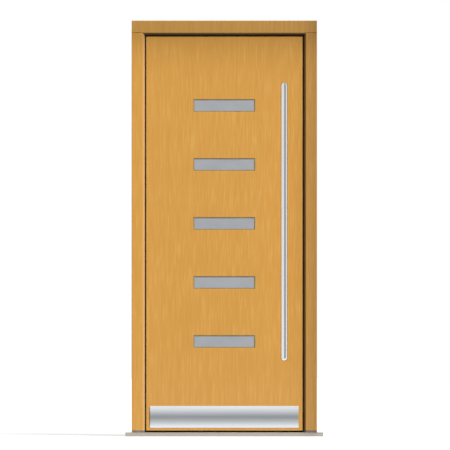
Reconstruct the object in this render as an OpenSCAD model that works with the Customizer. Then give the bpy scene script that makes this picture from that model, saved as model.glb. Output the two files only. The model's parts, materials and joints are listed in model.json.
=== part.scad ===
/* [Frame] */
// Width over the two jambs
frame_w = 936; // [860:1:1200]
// Height from the floor to the top of the head
frame_h = 2100; // [2000:1:2400]
// Depth of the frame from outside to inside
frame_d = 88; // [84:1:110]
// Flat outer face of each jamb
jamb_face = 55; // [46:1:80]
// Flat outer face of the head
head_face = 63; // [50:1:100]
// Width of the rounded inner edge of the frame
lip_round = 12.5; // [6:0.5:18]
// Depth of the rounded inner edge
lip_round_d = 24; // [19:1:30]
// Depth of the lip that the leaf closes against
lip_d = 38; // [32:1:44]
// Step from the edge of the lip back to the rebate wall
rebate = 16; // [14:0.5:20]

/* [Sill] */
// Height of the sill
sill_h = 20; // [14:1:30]
// Length of the sill beyond each jamb
sill_horn = 32; // [0:1:60]
// How far the sill stands out in front of the frame
sill_nose = 14; // [4:1:40]
// Fall of the nose towards the outside
sill_fall = 4; // [1:0.5:8]
// Height of the blocks between the sill and the jambs
foot_h = 10; // [4:1:20]

/* [Leaf] */
// Gap at the sides and the top between the leaf and the lip
leaf_gap = 5.5; // [4:0.5:8]
// Gap between the leaf and the sill
bottom_gap = 9; // [6:0.5:15]
// Setback of the leaf behind the outer face of the frame
leaf_setback = 12; // [6:1:16]
// Gap between the lip and the leaf, closed by the frame gasket
seal_gap = 3; // [2:0.5:5]
// Gap between the leaf's flange and the rebate wall
rebate_gap = 6; // [4.5:0.5:8]
// Thickness of the outer panel
outer_panel_t = 16; // [10:1:20]
// Thickness of the inner panel
inner_panel_t = 10; // [6:1:12]
// Width of the stiles
stile_w = 110; // [100:1:130]
// Height of the top rail
top_rail_h = 120; // [80:1:200]
// Height of the bottom rail
bottom_rail_h = 150; // [80:1:200]

/* [Windows] */
// Width of each window
window_w = 311; // [200:1:380]
// Height of each window
window_h = 63; // [50:1:120]
// Distance from the top of the leaf to the middle of the first window
window_drop = 347.5; // [250:0.5:400]
// Distance from the bottom of the leaf to the middle of the last window
window_rise = 450.5; // [250:0.5:500]
// Thickness of each pane
pane_t = 6; // [4:0.5:8]
// Width of the sealed space between the panes
pane_cavity = 16; // [12:1:20]
// Setback of the glass behind the outer face of the leaf
pane_setback = 2; // [1.5:0.5:4]

/* [Kick plate] */
// Height of the kick plate
kick_h = 110; // [80:1:140]
// Distance from the side edges of the leaf to the kick plate
kick_margin = 20; // [5:1:60]
// Distance from the bottom of the leaf to the kick plate
kick_rise = 14.5; // [5:0.5:40]
// Thickness of the sheet
kick_t = 1.5; // [0.8:0.1:3]
// How far the sheet bows out in the middle
kick_bow = 3; // [1.5:0.5:6]

/* [Pull bar] */
// Diameter of the pull bar
pull_d = 35; // [28:1:45]
// Length of the pull bar
pull_len = 1410; // [800:10:1600]
// Height of the middle of the pull bar above the floor
pull_z = 1085; // [1000:5:1150]
// Distance from the lock edge of the leaf to the middle of the bar
pull_inset = 93; // [80:1:95]
// Distance from the leaf to the middle of the bar
pull_standoff = 62; // [50:1:80]
// Distance between the two posts
pull_span = 1000; // [500:10:1100]
// Wall of the tube
pull_wall = 1.5; // [1:0.1:3]

/* [Hinges] */
// Height of each hinge
hinge_h = 130; // [100:1:160]
// Diameter of the hinge barrel
barrel_d = 20; // [18:1:24]
// Diameter of the hinge pin
hinge_pin_d = 12; // [10:0.5:13]
// Distance from the ends of the leaf to the outer hinges
hinge_inset = 240; // [180:5:300]
// Width of the screwed wings
wing_w = 32; // [26:1:38]

/* [Lock] */
// Height of the lever above the floor
lever_z = 1050; // [1000:5:1080]
// Distance from the lock edge to the lever
backset = 65; // [55:1:70]
// Distance from the lever down to the thumb turn
turn_drop = 92; // [85:1:95]
// Width of the faceplate
faceplate_w = 20; // [18:1:24]
// Projection of the latch bolt
latch_throw = 12; // [8:0.5:14]
// Travel of the dead bolt
dead_bolt_throw = 20; // [14:1:22]
// Travel of the drive rods
rod_travel = 18; // [12:1:20]
// Distance from the top of the leaf to the upper roller cam
upper_cam_drop = 349; // [250:1:450]
// Distance from the bottom of the leaf to the lower roller cam
lower_cam_rise = 461; // [350:1:560]
// Length of the lever's grip
lever_len = 125; // [100:1:140]

/* [Wall fixings] */
// Diameter of the holes for the wall screws
fixing_d = 10; // [8:0.5:12]
// Distance from the ends of each jamb to the outer pair of holes
fixing_inset = 153.5; // [120:0.5:160]
// Distance between the inner pair of holes in each jamb
fixing_short_span = 600; // [500:10:660]

/* [Hidden] */
$fn = 64;

// Overrun of every cut
over = 1;
// Clearance between faces that pass each other
fit = 0.3;
// Running clearance round a pin
run = 0.05;

wood = "#d59e4f";
wood_dark = "#b98b48";
wood_inside = "#c89650";
steel = "#b9bdbe";
glass = "#aaadb1";
rubber = "#32281d";
stone = "#bab3a8";

// Lines of the frame: x from the middle, y from outside to inside, z from the floor
frame_x = frame_w / 2;
frame_y0 = -frame_d / 2;
frame_y1 = frame_d / 2;
lip_x = frame_x - jamb_face - lip_round;
lip_r = (lip_round * lip_round + lip_round_d * lip_round_d) / (2 * lip_round);
lip_y = frame_y0 + lip_d;
rebate_x = lip_x + rebate;
jamb_z0 = sill_h + foot_h;
seam_z = frame_h - head_face;
lip_z = seam_z - lip_round;
rebate_z = lip_z + rebate;

// Lines of the leaf, with a flange that closes behind the lip
leaf_x = lip_x - leaf_gap;
leaf_y0 = frame_y0 + leaf_setback;
leaf_y1 = frame_y1;
leaf_z0 = sill_h + bottom_gap;
leaf_z1 = lip_z - leaf_gap;
flange_x = rebate_x - rebate_gap;
flange_z = rebate_z - rebate_gap;
shoulder_y = lip_y + seal_gap;
panel_y = leaf_y0 + outer_panel_t;
lining_y = leaf_y1 - inner_panel_t;
stile_x = leaf_x - stile_w;
arris = 1.5;

// Joint between the front and the rear layer of each frame timber
glue_line = 0.1;

// Gasket in the back of the lip
gasket_groove_w = 3;
gasket_groove_d = 5;
gasket_w = 8;
gasket_h = seal_gap - fit;
gasket_u = (flange_x - lip_x) / 2;

// Strip let into the sill under the leaf
strip_w = 46;
strip_t = 3;

// Seal in the bottom of the leaf
seal_y = (shoulder_y + lining_y) / 2;
seal_groove_w = 14;
seal_groove_d = 22;
seal_wall = 1.5;
seal_lip_t = 3;

// Glass units, each held by a gasket outside and a wooden bead inside
window_count = 5;
window_pitch = (leaf_z1 - leaf_z0 - window_drop - window_rise) / (window_count - 1);
window_z = [for (i = [0 : window_count - 1]) leaf_z1 - window_drop - i * window_pitch];
gasket_side = 2;
gasket_lap = 2;
gasket_lap_t = 1.2;
spacer_w = 8;
bead_w = 10;
bead_lap = 8;
bead_lap_t = 4;
pane_y = leaf_y0 + pane_setback;
unit_y = pane_y + pane_t + pane_cavity + pane_t;

// Pull bar on two posts
pull_x = leaf_x - pull_inset;
pull_y = leaf_y0 - pull_standoff;
pull_dome_h = pull_d / 2 - pull_wall;
post_d = 20;
post_foot_d = 30;
post_foot_h = 5;
pull_bolt_d = 8;
pull_bolt_grip = 5;
pull_bolt_depth = 55;
hole_slack = 0.1;

// Hinge axis in the middle of the rebate gap, in front of the inner face
barrel_r = barrel_d / 2;
pin_r = hinge_pin_d / 2;
bush_wall = 1.5;
bush_r = pin_r + run + bush_wall;
hinge_lift = 0.5;
hinge_x = -(rebate_x + flange_x) / 2;
hinge_y = frame_y1 + hinge_lift + barrel_r;
hinge_z = [leaf_z0 + hinge_inset, (leaf_z0 + leaf_z1) / 2, leaf_z1 - hinge_inset];
frame_knuckle_share = 0.26;
frame_knuckle_h = frame_knuckle_share * hinge_h;
bush_flange_t = 1.2;
knuckle_gap = bush_flange_t + fit;
leaf_knuckle_h = hinge_h - 2 * frame_knuckle_h - 2 * knuckle_gap;
wing_t = 4;
wing_clear = 1;
pin_head_h = 4;
wing_x0 = barrel_r + wing_clear;
wing_x1 = wing_x0 + wing_w;

// Countersunk wood screws: diameter of the shank, of the head, and height of the head
screw_d = 4.5;
screw_head_d = 9;
screw_head_h = 2.6;
hinge_screw_len = 38;
hinge_screw_shares = [-0.36, -0.12, 0.12, 0.36];
hinge_row_shares = [1 / 3, 2 / 3];
frame_screw_d = 6;
frame_screw_head_d = 11;
frame_screw_head_h = 3.4;
frame_screw_len = 140;
frame_screw_y_shares = [-0.28, 0.28];

// Lock case in the lock stile, behind a full-length faceplate
lock_y = (shoulder_y + lining_y) / 2;
faceplate_t = 3;
faceplate_x = flange_x - faceplate_t;
faceplate_margin = 70;
lever_x = flange_x - backset;
turn_z = lever_z - turn_drop;
case_behind = 27;
case_above = 56;
case_below = 52;
case_t = 16;
case_wall = 1.5;
case_x0 = lever_x - case_behind;
case_z0 = turn_z - case_below;
case_z1 = lever_z + case_above;
case_in = case_t / 2 - case_wall;
case_y = [lock_y - case_t / 2, lock_y + case_t / 2];

// Latch bolt with a tail that the follower pulls back
latch_t = 10;
latch_h = 28;
latch_rise = 30;
latch_z = lever_z + latch_rise;
latch_head_len = 26;
latch_tip = 2;
tail_h = 8;
tail_rise = 22;
tail_z = lever_z + tail_rise;
hook_w = 8;
hook_rise = 12;
hook_z = lever_z + hook_rise;
follower_r = 9.5;
journal_r = 7;
arm_r = 17;
arm_tip_r = 3;
spindle_w = 8;

// Dead bolt, resting flush with the faceplate
bolt_t = 11;
bolt_h = 36;
bolt_rise = 34;
bolt_len = 50;
bolt_z = turn_z + bolt_rise;

// Drive rods with mushroom cams
rod_t = 3.5;
rod_w = 13;
rod_tail = 30;
cam_r = 7;
cam_stem_r = 4;
cam_reach = 9.5;
cam_lift = 1;
cam_z = [leaf_z1 - upper_cam_drop, leaf_z0 + lower_cam_rise];

// Strike plate and keeps, let into the rebate wall
strike_t = 2;
strike_w = 26;
strike_margin = 24;
strike_slack = 1.5;
pocket_spare = 8;
strike_pocket = dead_bolt_throw + pocket_spare;
keep_pocket = 14;
keep_margin = 20;
strike_screw_len = 30;

// Lever and thumb turn on the inside
rose_d = 52;
rose_t = 9;
rose_edge = 2.5;
neck_r = 9.5;
grip_r = 9.5;
grip_reach = 52;
grip_y = leaf_y1 + grip_reach;
neck_lift = 1.5;
spindle_hole_r = 12;
spindle_grip = 28;
cylinder_r = 8.5;
cylinder_web_w = 10;
cylinder_h = 33;
cylinder_nose = 2;
turn_stem_r = 5;
turn_knob_r = 16;
turn_disc_t = 6;
turn_wing_t = 9;
turn_wing_h = 18;
turn_cam_r = 12;
turn_cam_t = 8;
cylinder_y0 = lock_y - turn_cam_t / 2;
cylinder_y1 = leaf_y1 + rose_t + cylinder_nose;

// Wall fixings along the jambs
fixing_y = (lip_y + frame_y1) / 2;
fixing_mid_z = (jamb_z0 + seam_z) / 2;
fixing_z = [
    jamb_z0 + fixing_inset, seam_z - fixing_inset,
    fixing_mid_z - fixing_short_span / 2, fixing_mid_z + fixing_short_span / 2
];

// Screws of the faceplate that pass through slots in the rods
rod_screw_z = [case_z1 + faceplate_margin, case_z0 - faceplate_margin];

// Stretches of the two drive rods at rest: upper, then lower
rod_spans = [
    [case_z1 + fit, cam_z[0] + rod_tail],
    [cam_z[1] - rod_tail, case_z0 - rod_travel - fit]
];

// A box between two x, two y and two z values
module block(x, y, z) {
    translate([x[0], y[0], z[0]]) cube([x[1] - x[0], y[1] - y[0], z[1] - z[0]]);
}

// An outline in y and z, drawn out along x
module prism_x(x) {
    translate([x[0], 0, 0]) rotate([90, 0, 90]) linear_extrude(x[1] - x[0]) children();
}

// An outline in x and z, drawn out along y
module prism_y(y) {
    translate([0, y[1], 0]) rotate([90, 0, 0]) linear_extrude(y[1] - y[0]) children();
}

// A round bar along x, y or z
module bar_x(r, x, y, z) {
    translate([x[0], y, z]) rotate([0, 90, 0]) cylinder(h = x[1] - x[0], r = r);
}

module bar_y(r, x, y, z) {
    translate([x, y[1], z]) rotate([90, 0, 0]) cylinder(h = y[1] - y[0], r = r);
}

module bar_z(r, x, y, z) {
    translate([x, y, z[0]]) cylinder(h = z[1] - z[0], r = r);
}

// A shape and its mirror image on the other side of the door
module both_sides() {
    children();
    mirror([1, 0, 0]) children();
}

// A countersunk screw along +z with the top of its head at zero; slack widens it into a hole
module screw(len, d, head_d, head_h, slack = 0) {
    shank_r = d / 2 + slack;
    tip_z = -len - slack;
    rotate_extrude() {
        polygon([[0, 0], [head_d / 2 + slack, 0], [shank_r, -head_h], [shank_r, tip_z], [0, tip_z]]);
    }
}

module wood_screw(len, slack = 0) {
    screw(len, screw_d, screw_head_d, screw_head_h, slack);
}

// Section of a timber's front layer, with the rounded lip and a flat face: x from the free edge of the lip,
// y from the outer face of the frame
module front_section(face) {
    w = lip_round + face;
    intersection() {
        square([w, lip_d]);
        union() {
            translate([lip_r, lip_round_d]) circle(r = lip_r);
            translate([lip_r, -over]) square([w, lip_d]);
            translate([0, lip_round_d]) square([w, lip_d]);
        }
    }
}

// Section of a gasket seated in the back of the lip
module gasket_section() {
    crown_r = (gasket_w * gasket_w / 4 + gasket_h * gasket_h) / (2 * gasket_h);
    translate([gasket_u, lip_d]) {
        translate([-gasket_groove_w / 2, -gasket_groove_d]) square([gasket_groove_w, gasket_groove_d]);
        intersection() {
            translate([0, gasket_h - crown_r]) circle(r = crown_r);
            translate([-gasket_w / 2, 0]) square([gasket_w, gasket_h]);
        }
    }
}

module gasket_groove_section() {
    translate([gasket_u - gasket_groove_w / 2, lip_d - gasket_groove_d]) {
        square([gasket_groove_w, gasket_groove_d + over]);
    }
}

// A section run up the lock side
module run_jamb(z) {
    translate([lip_x, frame_y0, z[0]]) linear_extrude(z[1] - z[0]) children();
}

// A section run along the head
module run_head(x) {
    translate([x[1], frame_y0, lip_z]) rotate([0, -90, 0]) linear_extrude(x[1] - x[0]) children();
}

// The head's gasket runs over the tops of the side gaskets
module head_gasket_run() {
    reach = lip_x + gasket_u + gasket_w / 2;
    run_head([-reach, reach]) children();
}

// Screws that tie the head to the jambs
module frame_screw_places() {
    for (side = [-1, 1], share = frame_screw_y_shares) {
        translate([side * (rebate_x + frame_x) / 2, share * frame_d, frame_h]) children();
    }
}

module frame_screw(slack = 0) {
    screw(frame_screw_len, frame_screw_d, frame_screw_head_d, frame_screw_head_h, slack);
}

// One jamb, drawn on the lock side and mitred under the head, with a rear layer that leaves the rebate free
module jamb_blank() {
    difference() {
        union() {
            intersection() {
                run_jamb([jamb_z0, seam_z]) front_section(jamb_face);
                prism_y([frame_y0 - over, lip_y + over]) {
                    polygon([
                        [lip_x, jamb_z0], [frame_x, jamb_z0], [frame_x, seam_z],
                        [lip_x + lip_round, seam_z], [lip_x, lip_z]
                    ]);
                }
            }
            block([rebate_x, frame_x], [lip_y + glue_line, frame_y1], [jamb_z0, rebate_z]);
        }
        run_jamb([jamb_z0 - over, seam_z + over]) gasket_groove_section();
        head_gasket_run() gasket_groove_section();
        for (z = fixing_z) bar_x(fixing_d / 2, [lip_x, frame_x + over], fixing_y, z);
    }
}

module hinge_jamb() {
    color(wood) difference() {
        mirror([1, 0, 0]) jamb_blank();
        frame_screw_places() frame_screw(hole_slack);
        hinge_screw_places(-1) wood_screw(hinge_screw_len, hole_slack);
    }
}

module lock_jamb() {
    color(wood) difference() {
        jamb_blank();
        frame_screw_places() frame_screw(hole_slack);
        strike_outline([rebate_x - over, rebate_x + strike_t]);
        strike_openings([rebate_x - over, rebate_x + strike_pocket]);
        for (z = cam_z) {
            keep_outline([rebate_x - over, rebate_x + strike_t], z);
            keep_opening([rebate_x - over, rebate_x + keep_pocket], z);
        }
        strike_screw_places() wood_screw(strike_screw_len, hole_slack);
    }
}

module frame_head() {
    color(wood_dark) difference() {
        union() {
            intersection() {
                run_head([-frame_x, frame_x]) front_section(head_face);
                prism_y([frame_y0 - over, lip_y + over]) {
                    polygon([
                        [-lip_x, lip_z], [lip_x, lip_z], [lip_x + lip_round, seam_z],
                        [frame_x, seam_z], [frame_x, frame_h], [-frame_x, frame_h],
                        [-frame_x, seam_z], [-lip_x - lip_round, seam_z]
                    ]);
                }
            }
            block([-frame_x, frame_x], [lip_y + glue_line, frame_y1], [rebate_z, frame_h]);
        }
        head_gasket_run() gasket_groove_section();
        frame_screw_places() frame_screw(hole_slack);
    }
}

module sill() {
    color(stone) difference() {
        prism_x([-frame_x - sill_horn, frame_x + sill_horn]) {
            polygon([
                [frame_y0 - sill_nose, 0], [frame_y1, 0], [frame_y1, sill_h],
                [frame_y0, sill_h], [frame_y0 - sill_nose, sill_h - sill_fall]
            ]);
        }
        sill_strip_shape(over);
    }
}

// The strip lies between the jambs; raise lifts its top into a cut
module sill_strip_shape(raise) {
    y = [seal_y - strip_w / 2, seal_y + strip_w / 2];
    block([-lip_x, lip_x], y, [sill_h - strip_t, sill_h + raise]);
}

module sill_strip() {
    color("#8d8f90") sill_strip_shape(0);
}

module jamb_feet() {
    color("#958e83") both_sides() {
        run_jamb([sill_h, jamb_z0]) {
            front_section(jamb_face);
            translate([rebate, lip_d]) square([jamb_face + lip_round - rebate, frame_d - lip_d]);
        }
    }
}

module frame_gasket() {
    top_z = lip_z + gasket_u - gasket_w / 2;
    color(rubber) {
        both_sides() run_jamb([jamb_z0, top_z]) gasket_section();
        head_gasket_run() gasket_section();
    }
}

module frame_screws() {
    color(steel) frame_screw_places() frame_screw();
}

// Screw places of the hinges: side -1 on the frame, 1 on the leaf
module hinge_screw_places(side) {
    for (z = hinge_z, i = [0 : len(hinge_screw_shares) - 1]) {
        x = hinge_x + side * (wing_x0 + hinge_row_shares[i % 2] * wing_w);
        screw_z = z + hinge_screw_shares[i] * hinge_h;
        translate([x, frame_y1 + wing_t, screw_z]) rotate([-90, 0, 0]) children();
    }
}

// A wing with its knuckles bored for the pin or the bushes
module hinge_wing(side, knuckles, bore_r) {
    plate_x = side < 0 ? [hinge_x - wing_x1, hinge_x - wing_x0] : [hinge_x + wing_x0, hinge_x + wing_x1];
    tab_x = side < 0 ? [plate_x[1] - over, hinge_x] : [hinge_x, plate_x[0] + over];
    plate_y = [frame_y1, frame_y1 + wing_t];
    for (z = hinge_z) {
        difference() {
            union() {
                block(plate_x, plate_y, [z - hinge_h / 2, z + hinge_h / 2]);
                for (k = knuckles) {
                    block(tab_x, plate_y, [z + k[0], z + k[1]]);
                    bar_z(barrel_r, hinge_x, hinge_y, [z + k[0], z + k[1]]);
                }
            }
            bar_z(bore_r, hinge_x, hinge_y, [z - hinge_h / 2 - over, z + hinge_h / 2 + over]);
            hinge_screw_places(side) wood_screw(hinge_screw_len, hole_slack);
        }
    }
}

module hinge_frame_wings() {
    color(steel) hinge_wing(-1, [
        [-hinge_h / 2, -hinge_h / 2 + frame_knuckle_h],
        [hinge_h / 2 - frame_knuckle_h, hinge_h / 2]
    ], pin_r + run);
}

module hinge_leaf_wings() {
    color(steel) hinge_wing(1, [[-leaf_knuckle_h / 2, leaf_knuckle_h / 2]], bush_r + run);
}

module hinge_pins() {
    color(steel) for (z = hinge_z) {
        bar_z(pin_r, hinge_x, hinge_y, [z - hinge_h / 2, z + hinge_h / 2]);
        bar_z(barrel_r, hinge_x, hinge_y, [z + hinge_h / 2, z + hinge_h / 2 + pin_head_h]);
    }
}

// Two flanged bushes in each leaf knuckle, flange outwards
module hinge_bushes() {
    flange_h = leaf_knuckle_h / 2 + bush_flange_t;
    flange_r = barrel_r - wing_clear;
    color("#3a3a3a") for (z = hinge_z, side = [0, 1]) {
        translate([hinge_x, hinge_y, z]) mirror([0, 0, side]) difference() {
            union() {
                translate([0, 0, fit]) cylinder(h = leaf_knuckle_h / 2 - fit, r = bush_r);
                translate([0, 0, leaf_knuckle_h / 2]) cylinder(h = bush_flange_t, r = flange_r);
            }
            translate([0, 0, -over]) cylinder(h = flange_h + 2 * over, r = pin_r + run);
        }
    }
}

module hinge_frame_screws() {
    color(steel) hinge_screw_places(-1) wood_screw(hinge_screw_len);
}

module hinge_leaf_screws() {
    color(steel) hinge_screw_places(1) wood_screw(hinge_screw_len);
}

// A rectangular bolt of thickness t and height h in the lock's plane; slack widens it into an opening
module bolt_cut(x, z, t, h, slack = 0) {
    half_t = t / 2 + slack;
    half_h = h / 2 + slack;
    block(x, [lock_y - half_t, lock_y + half_t], [z - half_h, z + half_h]);
}

// Openings for the latch bolt and the dead bolt
module strike_openings(x) {
    bolt_cut(x, latch_z, latch_t, latch_h, strike_slack);
    bolt_cut(x, bolt_z, bolt_t, bolt_h, strike_slack);
}

module strike_outline(x) {
    z0 = bolt_z - bolt_h / 2 - strike_margin;
    z1 = latch_z + latch_h / 2 + strike_margin;
    block(x, [lock_y - strike_w / 2, lock_y + strike_w / 2], [z0, z1]);
}

// A keep is open to the inside at the cam's rest and closed above it
module keep_opening(x, z) {
    half = cam_r + strike_slack;
    block(x, [lock_y - half, frame_y1 + over], [z - half, z + half]);
    block(x, [lock_y - half, lock_y + half], [z - half, z + rod_travel + half]);
}

module keep_outline(x, z) {
    half = cam_r + strike_slack + keep_margin;
    block(x, [lock_y - strike_w / 2, frame_y1], [z - half, z + rod_travel + half]);
}

module strike_screw_places() {
    low_z = bolt_z - bolt_h / 2 - strike_margin / 2;
    high_z = latch_z + latch_h / 2 + strike_margin / 2;
    keep_half = cam_r + strike_slack + keep_margin / 2;
    keep_places = [for (z = cam_z, end = [-keep_half, rod_travel + keep_half]) z + end];
    for (z = concat([low_z, high_z], keep_places)) {
        translate([rebate_x, lock_y, z]) rotate([0, -90, 0]) children();
    }
}

module strike_plate() {
    color(steel) difference() {
        strike_outline([rebate_x, rebate_x + strike_t]);
        strike_openings([rebate_x - over, rebate_x + strike_t + over]);
        strike_screw_places() wood_screw(strike_screw_len, hole_slack);
    }
}

module roller_keeps() {
    color(steel) for (z = cam_z) {
        difference() {
            keep_outline([rebate_x, rebate_x + strike_t], z);
            keep_opening([rebate_x - over, rebate_x + strike_t + over], z);
            strike_screw_places() wood_screw(strike_screw_len, hole_slack);
        }
    }
}

module strike_screws() {
    color(steel) strike_screw_places() wood_screw(strike_screw_len);
}

// All window openings between two depths, each side widened by grow
module window_cuts(y, grow = 0) {
    for (z = window_z) window_box(y, z, grow);
}

module window_box(y, z, grow = 0) {
    half_w = window_w / 2 + grow;
    half_h = window_h / 2 + grow;
    block([-half_w, half_w], y, [z - half_h, z + half_h]);
}

// A rectangular ring round a window, from one border to a narrower one
module window_ring(y, z, outside, inside) {
    difference() {
        window_box(y, z, outside);
        window_box([y[0] - over, y[1] + over], z, inside);
    }
}

module pull_places() {
    for (side = [-1, 1]) translate([pull_x, 0, pull_z + side * pull_span / 2]) children();
}

module pull_bolt(slack = 0) {
    y = [pull_y + pull_d / 2 - pull_bolt_grip, leaf_y0 + pull_bolt_depth + slack];
    bar_y(pull_bolt_d / 2 + slack, 0, y, 0);
}

// The outer panel has an eased arris all round
module outer_panel() {
    color(wood) difference() {
        intersection() {
            prism_x([-leaf_x, leaf_x]) {
                polygon([
                    [leaf_y0, leaf_z0 + arris], [leaf_y0, leaf_z1 - arris], [leaf_y0 + arris, leaf_z1],
                    [panel_y, leaf_z1], [panel_y, leaf_z0], [leaf_y0 + arris, leaf_z0]
                ]);
            }
            translate([0, 0, leaf_z0 - over]) linear_extrude(leaf_z1 - leaf_z0 + 2 * over) {
                polygon([
                    [-leaf_x + arris, leaf_y0], [leaf_x - arris, leaf_y0], [leaf_x, leaf_y0 + arris],
                    [leaf_x, panel_y], [-leaf_x, panel_y], [-leaf_x, leaf_y0 + arris]
                ]);
            }
        }
        window_cuts([leaf_y0 - over, panel_y + over]);
        pull_places() pull_bolt(hole_slack);
    }
}

module inner_panel() {
    color(wood_inside) difference() {
        block([-flange_x, flange_x], [lining_y, leaf_y1], [leaf_z0, flange_z]);
        window_cuts([lining_y - over, leaf_y1 + over]);
        bar_y(spindle_hole_r, lever_x, [lining_y - over, leaf_y1 + over], lever_z);
        prism_y([lining_y - over, leaf_y1 + over]) cylinder_section(fit);
        hinge_screw_places(1) wood_screw(hinge_screw_len, hole_slack);
    }
}

// Groove for the seal along the bottom of the leaf
module seal_groove() {
    block(
        [-flange_x - over, flange_x + over],
        [seal_y - seal_groove_w / 2, seal_y + seal_groove_w / 2],
        [leaf_z0 - over, leaf_z0 + seal_groove_d]
    );
}

// One stile, drawn on the lock side
module stile_blank() {
    difference() {
        union() {
            block([stile_x, leaf_x], [panel_y, shoulder_y], [leaf_z0, leaf_z1]);
            block([stile_x, flange_x], [shoulder_y, lining_y], [leaf_z0, flange_z]);
        }
        seal_groove();
    }
}

module hinge_stile() {
    color(wood_inside) difference() {
        mirror([1, 0, 0]) stile_blank();
        hinge_screw_places(1) wood_screw(hinge_screw_len, hole_slack);
    }
}

module lock_stile() {
    color(wood_inside) difference() {
        stile_blank();
        faceplate_outline([faceplate_x, flange_x + over]);
        rod_groove();
        block([case_x0, faceplate_x + over], case_y, [case_z0, case_z1]);
        bar_y(spindle_hole_r, lever_x, [lock_y, lining_y + over], lever_z);
        prism_y([lock_y, lining_y + over]) cylinder_section(fit);
        faceplate_screw_places() wood_screw(strike_screw_len, hole_slack);
        pull_places() pull_bolt(hole_slack);
    }
}

module top_rail() {
    color(wood_inside) {
        block([-stile_x, stile_x], [panel_y, shoulder_y], [leaf_z1 - top_rail_h, leaf_z1]);
        block([-stile_x, stile_x], [shoulder_y, lining_y], [leaf_z1 - top_rail_h, flange_z]);
    }
}

module bottom_rail() {
    color(wood_inside) difference() {
        block([-stile_x, stile_x], [panel_y, lining_y], [leaf_z0, leaf_z0 + bottom_rail_h]);
        seal_groove();
    }
}

// Two uprights beside the windows and a board above, below and between them
module core() {
    y = [panel_y, lining_y];
    z = [leaf_z0 + bottom_rail_h, leaf_z1 - top_rail_h];
    half_w = window_w / 2;
    edges = concat([z[1]], [for (mid = window_z, side = [1, -1]) mid + side * window_h / 2], [z[0]]);
    color("#d8c090") {
        both_sides() block([half_w, stile_x], y, z);
        for (i = [0 : window_count]) {
            block([-half_w + fit, half_w - fit], y, [edges[2 * i + 1], edges[2 * i]]);
        }
    }
}

module outer_pane(i) {
    color(glass) window_box([pane_y, pane_y + pane_t], window_z[i - 1], -gasket_side);
}

module inner_pane(i) {
    color(glass) window_box([unit_y - pane_t, unit_y], window_z[i - 1], -gasket_side);
}

// A bead holds the glass from the inside and laps over the inner panel
module bead(i) {
    z = window_z[i - 1];
    color(wood_inside) {
        window_ring([unit_y, leaf_y1], z, 0, -bead_w);
        window_ring([leaf_y1, leaf_y1 + bead_lap_t], z, bead_lap, -bead_w);
    }
}

module pane_spacers() {
    color("#6c6f72") for (z = window_z) {
        window_ring([pane_y + pane_t, unit_y - pane_t], z, -gasket_side, -gasket_side - spacer_w);
    }
}

// A gasket wraps the edge of the glass and laps over its outer face
module pane_gaskets() {
    color(rubber) for (z = window_z) {
        window_ring([pane_y - gasket_lap_t, unit_y], z, 0, -gasket_side);
        window_ring([pane_y - gasket_lap_t, pane_y], z, 0, -gasket_side - gasket_lap);
    }
}

// Bowed stainless sheet with its long edges on the leaf
module kick_plate() {
    bow_r = (kick_h * kick_h / 4 + kick_bow * kick_bow) / (2 * kick_bow);
    kick_z = leaf_z0 + kick_rise + kick_h / 2;
    kick_y = leaf_y0 - kick_t;
    color(steel) prism_x([-leaf_x + kick_margin, leaf_x - kick_margin]) {
        translate([kick_y, kick_z]) difference() {
            union() {
                intersection() {
                    translate([bow_r - kick_bow, 0]) circle(r = bow_r, $fn = 256);
                    translate([-kick_bow, -kick_h / 2]) square([kick_bow, kick_h]);
                }
                translate([0, -kick_h / 2]) square([kick_t, kick_h]);
            }
            translate([bow_r - kick_bow, 0]) circle(r = bow_r - kick_t, $fn = 256);
        }
    }
}

// A shallow dome of the given radius and height
module dome(r, h) {
    dome_r = (r * r + h * h) / (2 * h);
    intersection() {
        translate([0, 0, h - dome_r]) sphere(r = dome_r);
        cylinder(h = h, r = r);
    }
}

// A straight bar with a dome at each end
module domed_bar(r, h, length) {
    translate([0, 0, h - length / 2]) cylinder(h = length - 2 * h, r = r);
    for (side = [0, 1]) mirror([0, 0, side]) translate([0, 0, length / 2 - h]) dome(r, h);
}

module pull_bar() {
    bore = pull_d - 2 * pull_wall;
    color(steel) difference() {
        translate([pull_x, pull_y, pull_z]) difference() {
            domed_bar(pull_d / 2, pull_dome_h, pull_len);
            cylinder(h = pull_len - 2 * pull_dome_h, r = bore / 2, center = true);
        }
        pull_places() pull_bolt(hole_slack);
    }
}

module pull_posts() {
    color(steel) pull_places() difference() {
        union() {
            bar_y(post_d / 2, 0, [pull_y, leaf_y0], 0);
            bar_y(post_foot_d / 2, 0, [leaf_y0 - post_foot_h, leaf_y0], 0);
        }
        bar_z(pull_d / 2 + hole_slack, 0, pull_y, [-post_d, post_d]);
        pull_bolt(hole_slack);
    }
}

module pull_bolts() {
    color("#8a8d8f") pull_places() pull_bolt();
}

// Channel let into the bottom of the leaf, and the lip that wipes the sill
module bottom_seal_rail() {
    color(steel) difference() {
        block(
            [-flange_x, flange_x],
            [seal_y - seal_groove_w / 2, seal_y + seal_groove_w / 2],
            [leaf_z0, leaf_z0 + seal_groove_d]
        );
        block(
            [-flange_x - over, flange_x + over],
            [seal_y - seal_groove_w / 2 + seal_wall, seal_y + seal_groove_w / 2 - seal_wall],
            [leaf_z0 - over, leaf_z0 + seal_groove_d - seal_wall]
        );
    }
}

module bottom_seal_lip() {
    x = [-flange_x, flange_x];
    half = seal_groove_w / 2 - seal_wall;
    root_z = leaf_z0 + seal_groove_d / 2;
    color(rubber) {
        block(x, [seal_y - half, seal_y + half], [root_z, leaf_z0 + seal_groove_d - seal_wall]);
        block(x, [seal_y - seal_lip_t / 2, seal_y + seal_lip_t / 2], [sill_h + fit, root_z]);
    }
}

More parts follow.
